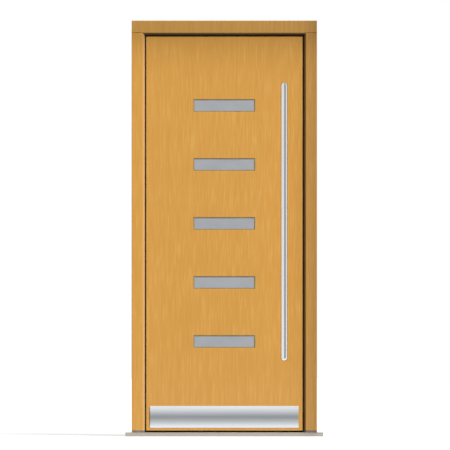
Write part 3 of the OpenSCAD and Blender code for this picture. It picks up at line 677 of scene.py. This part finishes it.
def outer_edges(mesh: bmesh.types.BMesh, shortest: float) -> list[bmesh.types.BMEdge]:
    """Lists the sharp outer edges that are long enough to be worked.

    Args:
        mesh: The mesh.
        shortest: The shortest edge that counts.

    Returns:
        The edges.
    """
    return [
        edge for edge in mesh.edges
        if len(edge.link_faces) == 2
        and edge.calc_face_angle_signed() > SHARP_OVER
        and edge.calc_length() > shortest
    ]


def plane_off(mesh: bmesh.types.BMesh, edges: list[bmesh.types.BMEdge], width: float, steps: int,
              limit: bool) -> None:
    """Planes edges off in one or more facets.

    Args:
        mesh: The mesh.
        edges: Its edges that are worked.
        width: How far from the edge the facets start.
        steps: The number of facets.
        limit: Whether the shortest neighbouring edge limits the width for all.
    """
    bmesh.ops.bevel(mesh, geom=edges, offset=width, offset_type="OFFSET", segments=steps, profile=0.5,
                    affect="EDGES", material=-1, clamp_overlap=limit)


def ease(finish: Finish, width: float, *nodes: str, shortest: float = 4.0, steps: int = 2) -> None:
    """Replaces CAD nodes by copies with rounded outer edges.

    Args:
        finish: The finish of the copies.
        width: The width of the rounding.
        nodes: The nodes' names.
        shortest: The shortest edge that is rounded, in widths.
        steps: Facets of the rounding.
    """
    for node in nodes:
        mesh = merged_copy(node)
        plane_off(mesh, outer_edges(mesh, shortest * width), width, steps, limit=True)
        place(mesh, f"{node}_eased", body_of(node), finish, node)


class SubAssembly(ABC):
    """A group of pieces that is built and dressed together."""

    @abstractmethod
    def build(self) -> None:
        """Builds and dresses the pieces."""


@dataclass
class ScrewSet(SubAssembly):
    """Countersunk screws with a hexagon socket, in place of a node of plain screws."""

    node: str
    out: Triple
    shank: float = 0.00225
    head_height: float = 0.0026
    socket: float = 0.0021
    socket_depth: float = 0.0016
    rim_sides: int = 24
    socket_sides: int = 6

    def build(self) -> None:
        """Makes one screw for each solid of the node."""
        way = Vector(self.out)
        axis = max(range(3), key=lambda index: abs(way[index]))
        across = (axis + 1) % 3
        mesh = bmesh.new()
        for low, high in solids_of(self.node):
            top = (low + high) / 2
            top[axis] = high[axis] if way[axis] > 0 else low[axis]
            turn = Vector((0, 0, 1)).rotation_difference(way).to_matrix()
            made = self.one(mesh, (high[across] - low[across]) / 2, high[axis] - low[axis])
            bmesh.ops.rotate(mesh, verts=made, cent=(0, 0, 0), matrix=turn)
            bmesh.ops.translate(mesh, verts=made, vec=top)
        bmesh.ops.recalc_face_normals(mesh, faces=mesh.faces)
        place(mesh, f"{self.node}_socketed", body_of(self.node), FITTING_STEEL, self.node)

    def one(self, mesh: bmesh.types.BMesh, radius: float, length: float) -> list[bmesh.types.BMVert]:
        """Adds a screw along z with the top of its head at the origin.

        Args:
            mesh: The mesh that takes the screw.
            radius: Radius of the head.
            length: Length over all.

        Returns:
            The screw's vertices.
        """
        start = len(mesh.verts)
        rim = bmesh.ops.create_circle(mesh, segments=self.rim_sides, radius=radius)["verts"]
        hexagon = bmesh.ops.create_circle(mesh, segments=self.socket_sides, radius=self.socket)["verts"]
        rim_edges = self.loop(rim)
        socket_edges = self.loop(hexagon)
        bmesh.ops.bridge_loops(mesh, edges=rim_edges + socket_edges)
        self.drop(mesh, socket_edges, self.socket_depth, 1.0, close=True)
        neck = self.drop(mesh, rim_edges, self.head_height, self.shank / radius, close=False)
        self.drop(mesh, neck, length - self.head_height, 1.0, close=True)
        mesh.verts.ensure_lookup_table()
        return mesh.verts[start:]

    def loop(self, verts: list[bmesh.types.BMVert]) -> list[bmesh.types.BMEdge]:
        """Lists the edges between the vertices of a ring."""
        ring = set(verts)
        return list({edge for vert in verts for edge in vert.link_edges if set(edge.verts) <= ring})

    def drop(self, mesh: bmesh.types.BMesh, edges: list[bmesh.types.BMEdge], depth: float, share: float,
             close: bool) -> list[bmesh.types.BMEdge]:
        """Draws a ring down along z.

        Args:
            mesh: The mesh.
            edges: The ring's edges.
            depth: How far it goes down.
            share: The new ring's radius as a share of the old one's.
            close: Whether the new ring is filled.

        Returns:
            The new ring's edges.
        """
        drawn = bmesh.ops.extrude_edge_only(mesh, edges=edges)["geom"]
        verts = [item for item in drawn if isinstance(item, bmesh.types.BMVert)]
        ring = self.loop(verts)
        bmesh.ops.scale(mesh, verts=verts, vec=(share, share, 1.0))
        bmesh.ops.translate(mesh, verts=verts, vec=(0, 0, -depth))
        if close:
            bmesh.ops.edgeloop_fill(mesh, edges=ring)
        return ring


@dataclass
class DoorFrame(SubAssembly):
    """Jambs and head with their gasket, feet and tie screws."""

    arris: float = 0.0022
    shortest: float = 0.044
    foot_edge: float = 0.0008
    glue_line: tuple[float, float] = (-0.0061, -0.0058)
    recesses: tuple[float, float] = (0.0, 0.040)
    seam_height: float = HEAD_LIP + LIP_ROUND
    seam: float = 0.0032
    seam_reach: float = 0.0064
    front: float = -0.040

    def build(self) -> None:
        """Eases the timbers and dresses the rest."""
        timbers = {"hinge_jamb": HINGE_JAMB_WOOD, "lock_jamb": LOCK_JAMB_WOOD_SHADED, "frame_head": HEAD_WOOD_SHADED}
        for node, finish in timbers.items():
            self.ease_timber(node, finish)
        ease(FOOT_PLASTIC, self.foot_edge, "jamb_feet")
        dress(SEAL_RUBBER, "frame_gasket")
        ScrewSet("frame_screws", (0, 0, 1), shank=0.003, head_height=0.0034, socket=0.0026).build()

    def ease_timber(self, node: str, finish: Finish) -> None:
        """Chamfers a timber where head and jamb meet, and rounds its other long edges.

        Args:
            node: The timber's node.
            finish: Its finish.
        """
        mesh = merged_copy(node)
        seams = [
            edge for edge in outer_edges(mesh, self.shortest)
            if within(edge, 2, self.seam_height - self.seam, self.seam_height + self.seam)
            and within(edge, 1, -math.inf, self.front)
        ]
        plane_off(mesh, seams, self.seam, steps=1, limit=False)
        edges = [
            edge for edge in outer_edges(mesh, self.shortest)
            if not within(edge, 2, self.seam_height - self.seam_reach, self.seam_height + self.seam_reach)
            and not within(edge, 1, *self.glue_line)
            and not within(edge, 1, *self.recesses)
        ]
        plane_off(mesh, edges, self.arris, steps=2, limit=False)
        place(mesh, f"{node}_eased", body_of(node), finish, node)


@dataclass
class Sill(SubAssembly):
    """Stone sill with a metal strip under the leaf."""

    edge: float = 0.0006
    strip_edge: float = 0.0005

    def build(self) -> None:
        """Rounds the sill and its strip."""
        ease(SILL_STONE, self.edge, "sill", steps=3)
        ease(SILL_METAL, self.strip_edge, "sill_strip")


@dataclass
class DoorLeaf(SubAssembly):
    """Panels, stiles, rails and core of the leaf, with the seals at its foot and round its edge."""

    arris: float = 0.0008
    inner_arris: float = 0.0020
    shortest: float = 0.040
    shoulder: float = -0.0030
    seal_width: float = 0.0040
    seal_height: float = 0.0140
    seal_round: float = 0.0010
    seal_shortest: float = 0.140

    def build(self) -> None:
        """Eases both faces, lays the seal and dresses what lies between them."""
        ease(LEAF_WOOD, self.arris, "outer_panel")
        self.lay_seal()
        self.ease_inside()
        dress(INSIDE_WOOD, "hinge_stile", "lock_stile")
        dress(RAIL_WOOD, "top_rail", "bottom_rail")
        dress(CORE_BOARD, "core")
        dress(SILL_METAL, "bottom_seal_rail")
        dress(SEAL_RUBBER, "bottom_seal_lip")

    def ease_inside(self) -> None:
        """Rounds the long edges of the inner panel."""
        mesh = merged_copy("inner_panel")
        plane_off(mesh, outer_edges(mesh, self.shortest), self.inner_arris, steps=2, limit=False)
        place(mesh, "inner_panel_eased", "leaf", INSIDE_WOOD, "inner_panel")

    def lay_seal(self) -> None:
        """Lays a rubber seal on the shoulder round the sides and the top of the outer panel. Its black fills
        the gap between the leaf and the frame's lip, so it is partly a seal and partly painted shade.
        """
        low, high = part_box("outer_panel")
        left, right, top = low.x - self.seal_width, high.x + self.seal_width, high.z + self.seal_width
        outline = (
            (left, low.z), (left, top), (right, top), (right, low.z),
            (high.x, low.z), (high.x, high.z), (low.x, high.z), (low.x, low.z),
        )
        mesh = bmesh.new()
        back = mesh.faces.new([mesh.verts.new((x, self.shoulder, z)) for x, z in outline])
        drawn = bmesh.ops.extrude_face_region(mesh, geom=[back], use_keep_orig=True)["geom"]
        front = [item for item in drawn if isinstance(item, bmesh.types.BMVert)]
        bmesh.ops.translate(mesh, verts=front, vec=(0, -self.seal_height, 0))
        bmesh.ops.recalc_face_normals(mesh, faces=mesh.faces)
        edge_y = self.shoulder - self.seal_height
        rims = [
            edge for edge in outer_edges(mesh, self.seal_shortest)
            if within(edge, 1, edge_y - self.seal_round, edge_y + self.seal_round)
        ]
        plane_off(mesh, rims, self.seal_round, steps=3, limit=False)
        place(mesh, "leaf_seal", "leaf", SEAL_RUBBER)


@dataclass
class Windows(SubAssembly):
    """Five glass units with their gaskets, spacers and inside beads."""

    bead_edge: float = 0.0016
    pane_edge: float = 0.0005

    def build(self) -> None:
        """Rounds the beads and panes and dresses the seals."""
        for number in WINDOWS:
            ease(SATIN_GLASS, self.pane_edge, f"outer_pane_{number}", f"inner_pane_{number}")
            ease(INSIDE_WOOD, self.bead_edge, f"bead_{number}")
        dress(PANE_RUBBER, "pane_gaskets")
        dress(SILL_METAL, "pane_spacers")


@dataclass
class KickPlate(SubAssembly):
    """Bowed steel plate across the foot of the leaf."""

    edge: float = 0.0004

    def build(self) -> None:
        """Breaks the edges of the plate."""
        ease(PLATE_STEEL, self.edge, "kick_plate")


@dataclass
class PullBar(SubAssembly):
    """Tall pull bar on two posts."""

    foot_edge: float = 0.0010

    def build(self) -> None:
        """Dresses the bar and its posts."""
        dress(BAR_STEEL, "pull_bar")
        ease(FITTING_STEEL, self.foot_edge, "pull_posts", shortest=0.5)
        dress(LOCK_STEEL, "pull_bolts")


@dataclass
class Hinges(SubAssembly):
    """Three barrel hinges on the inside."""

    wing_edge: float = 0.0008
    head_edge: float = 0.0012

    def build(self) -> None:
        """Rounds the wings and pins and makes the screws."""
        ease(FITTING_STEEL, self.wing_edge, "hinge_frame_wings", "hinge_leaf_wings")
        ease(FITTING_STEEL, self.head_edge, "hinge_pins", shortest=0.5)
        dress(SEAL_RUBBER, "hinge_bushes")
        for node in ("hinge_frame_screws", "hinge_leaf_screws"):
            ScrewSet(node, (0, 1, 0)).build()


@dataclass
class LockSet(SubAssembly):
    """Multi-point lock with its lever, thumb turn, keeps and strike plate."""

    plate_edge: float = 0.0005
    rose_edge: float = 0.0010
    bolt_edge: float = 0.0006

    def build(self) -> None:
        """Rounds what shows, dresses what lies in the leaf and makes the screws."""
        ease(FITTING_STEEL, self.plate_edge, "lock_faceplate", "strike_plate", "roller_keeps")
        ease(FITTING_STEEL, self.rose_edge, "lever_rose", "turn_rose", shortest=0.5)
        ease(FITTING_STEEL, self.rose_edge, "thumb_turn", shortest=0.5)
        ease(LOCK_STEEL, self.bolt_edge, "latch_bolt", "dead_bolt", "drive_rods")
        dress(FITTING_STEEL, "lever_handle")
        dress(LOCK_STEEL, "lock_case", "lock_cylinder", "latch_follower")
        ScrewSet("strike_screws", (-1, 0, 0)).build()
        ScrewSet("faceplate_screws", (1, 0, 0)).build()


def emptied(owner: bpy.types.Material | bpy.types.World) -> bpy.types.NodeTree:
    """Empties the node tree of a studio material or of the air.

    Args:
        owner: The material or world.

    Returns:
        Its node tree.
    """
    owner.use_nodes = True
    owner.node_tree.nodes.clear()
    return owner.node_tree


def wire(tree: bpy.types.NodeTree, *links: tuple[bpy.types.NodeSocket, bpy.types.NodeSocket]) -> None:
    """Links pairs of sockets.

    Args:
        tree: Their node tree.
        links: An output and an input for each link.
    """
    for source, target in links:
        tree.links.new(source, target)


def flat_grey(value: float) -> tuple[float, float, float, float]:
    """Gives a linear grey as a colour."""
    return value, value, value, 1.0


class Sight(Enum):
    """Which rays see a studio board."""

    SHADE = ("diffuse", "shadow")
    MIRRORED = ("glossy",)
    ALL = ("camera", "diffuse", "glossy", "transmission", "shadow", "volume_scatter")


def board(name: str, material: bpy.types.Material, first: Triple, last: Triple, sight: Sight) -> None:
    """Adds a flat stage board between two opposite corners.

    Args:
        name: The board's name.
        material: Its material.
        first: One corner.
        last: The opposite corner; where z differs, the board stands upright.
        sight: The rays that see it.
    """
    a, b = Vector(first), Vector(last)
    if a.z == b.z:
        corners = (a, (b.x, a.y, a.z), b, (a.x, b.y, a.z))
    else:
        corners = (a, (b.x, b.y, a.z), b, (a.x, a.y, b.z))
    mesh = bmesh.new()
    mesh.faces.new([mesh.verts.new(corner) for corner in corners])
    data = bpy.data.meshes.new(name)
    mesh.to_mesh(data)
    mesh.free()
    data.materials.append(material)
    made = bpy.data.objects.new(name, data)
    bpy.context.scene.collection.objects.link(made)
    for ray in Sight.ALL.value:
        setattr(made, f"visible_{ray}", ray in sight.value)


@dataclass
class Studio(SubAssembly):
    """Floor, backdrop, soft light and camera."""

    view_width: float = 2.2725
    view_middle: Triple = (0.0035, -0.044, 1.0676)
    distance: float = 80.0
    clip_end: float = 320.0
    sensor: float = 36.0
    key_from: Triple = (0.95, -1.0, 1.30)
    key_strength: float = 5.10
    fill_from: Triple = (-0.70, 1.0, 0.90)
    fill_strength: float = 3.40
    light_spread: float = 30.0
    ambient: float = 0.20
    backdrop: float = 1.0
    floor_size: float = 60.0
    floor_height: float = -0.0004
    floor_glow: float = 0.70
    floor_lit: float = 0.08
    floor_seen: float = 0.45

    def build(self) -> None:
        """Sets the camera, the air, the floor and both lights."""
        scene = bpy.context.scene
        scene.view_settings.view_transform = "Standard"
        self.set_camera(scene)
        self.set_air(scene)
        self.set_key(scene)
        self.set_floor()
        self.set_fill(scene)

    def set_camera(self, scene: bpy.types.Scene) -> None:
        """Looks straight at the door through a long lens."""
        data = bpy.data.cameras.new("front_camera")
        data.sensor_fit = "HORIZONTAL"
        data.sensor_width = self.sensor
        data.lens = self.sensor * self.distance / self.view_width
        data.clip_end = self.clip_end
        camera = bpy.data.objects.new("front_camera", data)
        camera.location = Vector(self.view_middle) - Vector((0, self.distance, 0))
        camera.rotation_euler = (math.radians(90), 0, 0)
        scene.collection.objects.link(camera)
        scene.camera = camera

    def seen(self, tree: bpy.types.NodeTree) -> bpy.types.NodeSocket:
        """Tells camera, mirror and glass rays from those that light the object.

        Args:
            tree: The node tree that asks.

        Returns:
            1 for a ray that shows the backdrop, otherwise 0.
        """
        path = tree.nodes.new("ShaderNodeLightPath")
        result = path.outputs["Is Camera Ray"]
        for ray in ("Is Glossy Ray", "Is Transmission Ray"):
            either = tree.nodes.new("ShaderNodeMath")
            either.operation = "MAXIMUM"
            wire(tree, (result, either.inputs[0]), (path.outputs[ray], either.inputs[1]))
            result = either.outputs[0]
        return result

    def set_air(self, scene: bpy.types.Scene) -> None:
        """Gives a white backdrop and a little light from all round."""
        world = bpy.data.worlds.new("studio_air")
        scene.world = world
        tree = emptied(world)
        mixer = tree.nodes.new("ShaderNodeMixShader")
        wire(tree, (self.seen(tree), mixer.inputs[0]))
        for index, strength in ((1, self.ambient), (2, self.backdrop)):
            air = tree.nodes.new("ShaderNodeBackground")
            air.inputs["Color"].default_value = flat_grey(1.0)
            air.inputs["Strength"].default_value = strength
            wire(tree, (air.outputs[0], mixer.inputs[index]))
        output = tree.nodes.new("ShaderNodeOutputWorld")
        wire(tree, (mixer.outputs[0], output.inputs["Surface"]))

    def sun(self, scene: bpy.types.Scene, name: str, way: Triple, strength: float) -> bpy.types.Object:
        """Adds a broad distant light that mirrors do not show.

        Args:
            scene: The scene.
            name: The light's name.
            way: The direction it comes from.
            strength: Its strength.

        Returns:
            The light.
        """
        data = bpy.data.lights.new(name, "SUN")
        data.energy = strength
        data.angle = math.radians(self.light_spread)
        light = bpy.data.objects.new(name, data)
        light.rotation_euler = Vector(way).to_track_quat("Z", "Y").to_euler()
        light.visible_glossy = False
        scene.collection.objects.link(light)
        return light

    def left_out(self, name: str, *pieces: str) -> bpy.types.Collection:
        """Gathers pieces that a light leaves out.

        Args:
            name: The collection's name.
            pieces: The objects' names.

        Returns:
            The collection, with every piece excluded.
        """
        group = bpy.data.collections.new(name)
        for piece in pieces:
            group.objects.link(bpy.data.objects[piece])
        for item in group.collection_objects:
            item.light_linking.link_state = "EXCLUDE"
        return group

    def set_key(self, scene: bpy.types.Scene) -> None:
        """Puts the main light up on the right, in front of the door; the pull bar casts no shadow from it."""
        key = self.sun(scene, "key_light", self.key_from, self.key_strength)
        passed = self.left_out("passed_by_key", "pull_bar", "pull_posts_eased", "pull_bolts")
        key.light_linking.blocker_collection = passed

    def set_fill(self, scene: bpy.types.Scene) -> None:
        """Lights the inside of the door from behind, without a second shadow on the floor."""
        fill = self.sun(scene, "fill_light", self.fill_from, self.fill_strength)
        fill.light_linking.receiver_collection = self.left_out("missed_by_fill", "studio_floor")

    def set_floor(self) -> None:
        """Lays a pale floor that stays white round the object's shadow."""
        material = bpy.data.materials.new("studio_floor")
        tree = emptied(material)
        seen = self.seen(tree)
        tint = tree.nodes.new("ShaderNodeMix")
        tint.data_type = "RGBA"
        tint.inputs[MIX_FIRST].default_value = flat_grey(self.floor_lit)
        tint.inputs[MIX_SECOND].default_value = flat_grey(self.floor_seen)
        matt = tree.nodes.new("ShaderNodeBsdfDiffuse")
        glow = tree.nodes.new("ShaderNodeEmission")
        dim = tree.nodes.new("ShaderNodeMath")
        dim.operation = "MULTIPLY"
        dim.inputs[1].default_value = self.floor_glow
        both = tree.nodes.new("ShaderNodeAddShader")
        output = tree.nodes.new("ShaderNodeOutputMaterial")
        wire(
            tree, (seen, tint.inputs[MIX_SHARE]), (seen, dim.inputs[0]),
            (tint.outputs[MIX_RESULT], matt.inputs["Color"]),
            (dim.outputs[0], glow.inputs["Strength"]), (matt.outputs[0], both.inputs[0]),
            (glow.outputs[0], both.inputs[1]), (both.outputs[0], output.inputs["Surface"]),
        )
        half, level = self.floor_size / 2, self.floor_height
        board("studio_floor", material, (-half, -half, level), (half, half, level), Sight.ALL)


@dataclass
class ShadeBoards(SubAssembly):
    """Gauze boards that shade the head and the lock jamb and do not show themselves."""

    cover: float = 0.31
    cloth: float = 0.05
    gap: float = 0.020
    head_depth: float = 0.137
    head_past: float = 0.10
    side_depth: float = 0.079
    side_foot: float = 0.05
    side_rise: float = 0.15

    def build(self) -> None:
        """Puts one board over the head and one beside the lock jamb, in front of their faces."""
        low, high = CAD_BOX
        jamb_low, jamb_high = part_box("lock_jamb")
        face = jamb_low.y
        top = high.z + self.gap
        side = jamb_high.x + self.gap
        gauze = self.gauze()
        board("head_board", gauze, (low.x, face - self.head_depth, top), (side + self.head_past, face, top),
              Sight.SHADE)
        board("side_board", gauze, (side, face - self.side_depth, self.side_foot),
              (side, face, top + self.side_rise), Sight.SHADE)

    def gauze(self) -> bpy.types.Material:
        """Makes a thin dark cloth that lets part of the light through."""
        material = bpy.data.materials.new("shade_gauze")
        tree = emptied(material)
        mixer = tree.nodes.new("ShaderNodeMixShader")
        mixer.inputs[0].default_value = self.cover
        cloth = tree.nodes.new("ShaderNodeBsdfDiffuse")
        cloth.inputs["Color"].default_value = flat_grey(self.cloth)
        clear = tree.nodes.new("ShaderNodeBsdfTransparent")
        output = tree.nodes.new("ShaderNodeOutputMaterial")
        wire(tree, (clear.outputs[0], mixer.inputs[1]), (cloth.outputs[0], mixer.inputs[2]),
             (mixer.outputs[0], output.inputs["Surface"]))
        return material


@dataclass
class SteelCards(SubAssembly):
    """Grey cards in front of the door that only mirror rays see.

    A tall stripe gives the bar its dark line. Bands above and below a dark middle, and a mat on the
    floor, give the kick plate its shading. Each grey goes with the place where the card has it.
    """

    plane: float = -0.496
    half_width: float = 1.5
    lift: float = 0.001
    stripe_near: tuple[float, float] = (0.29, 0.42)
    stripe_far: tuple[float, float] = (1.05, 0.50)
    stripe_foot: float = 0.27
    stripe_top: float = 3.2
    band_middle: tuple[float, float] = (0.0924, 0.40)
    band_top: tuple[float, float] = (0.264, 1.60)
    band_foot: tuple[float, float] = (0.0, 0.96)
    mat_near: tuple[float, float] = (-0.209, 1.55)

    def build(self) -> None:
        """Stands the stripe and the bands up and lays the mat at their foot."""
        left, right, plane = -self.half_width, self.half_width, self.plane
        stripe = self.ramp("bar_board", "X", self.stripe_near, self.stripe_far)
        board("bar_board", stripe, (self.stripe_near[0], plane, self.stripe_foot),
              (self.stripe_far[0], plane, self.stripe_top), Sight.MIRRORED)
        middle, top, foot = self.band_middle[0], self.band_top[0], self.band_foot[0]
        upper = self.ramp("upper_card", "Z", self.band_middle, self.band_top)
        board("upper_card", upper, (left, plane, middle), (right, plane, top), Sight.MIRRORED)
        lower = self.ramp("lower_card", "Z", self.band_middle, self.band_foot)
        board("lower_card", lower, (left, plane, foot), (right, plane, middle), Sight.MIRRORED)
        mat = self.ramp("floor_card", "Y", (plane, self.band_foot[1]), self.mat_near)
        board("floor_card", mat, (left, plane, self.lift), (right, CAD_BOX[0].y - self.lift, self.lift),
              Sight.MIRRORED)

    def ramp(self, name: str, axis: str, near: tuple[float, float],
             far: tuple[float, float]) -> bpy.types.Material:
        """Makes a grey that a card shows by itself and that changes evenly along an axis.

        Args:
            name: The material's name.
            axis: X, Y or Z.
            near: A place on the axis and the linear grey there.
            far: Another place on it and the grey there.

        Returns:
            The material.
        """
        material = bpy.data.materials.new(name)
        tree = emptied(material)
        place_on = tree.nodes.new("ShaderNodeTexCoord")
        apart = tree.nodes.new("ShaderNodeSeparateXYZ")
        shift = tree.nodes.new("ShaderNodeMapRange")
        for slot, value in zip(shift.inputs[1:5], (near[0], far[0], near[1], far[1])):
            slot.default_value = value
        shader = tree.nodes.new("ShaderNodeEmission")
        output = tree.nodes.new("ShaderNodeOutputMaterial")
        wire(
            tree, (place_on.outputs["Object"], apart.inputs[0]), (apart.outputs[axis], shift.inputs[0]),
            (shift.outputs[0], shader.inputs["Strength"]), (shader.outputs[0], output.inputs["Surface"]),
        )
        return material


def main() -> None:
    """Builds the studio and every sub-assembly of the door."""
    logging.basicConfig(level=logging.INFO, format="%(name)s: %(message)s")
    parts = (DoorFrame, Sill, DoorLeaf, Windows, KickPlate, PullBar, Hinges, LockSet, Studio, ShadeBoards,
             SteelCards)
    for assembly in (part() for part in parts):
        assembly.build()
        log.info("%s is dressed", type(assembly).__name__)


if __name__ == "__main__":
    main()
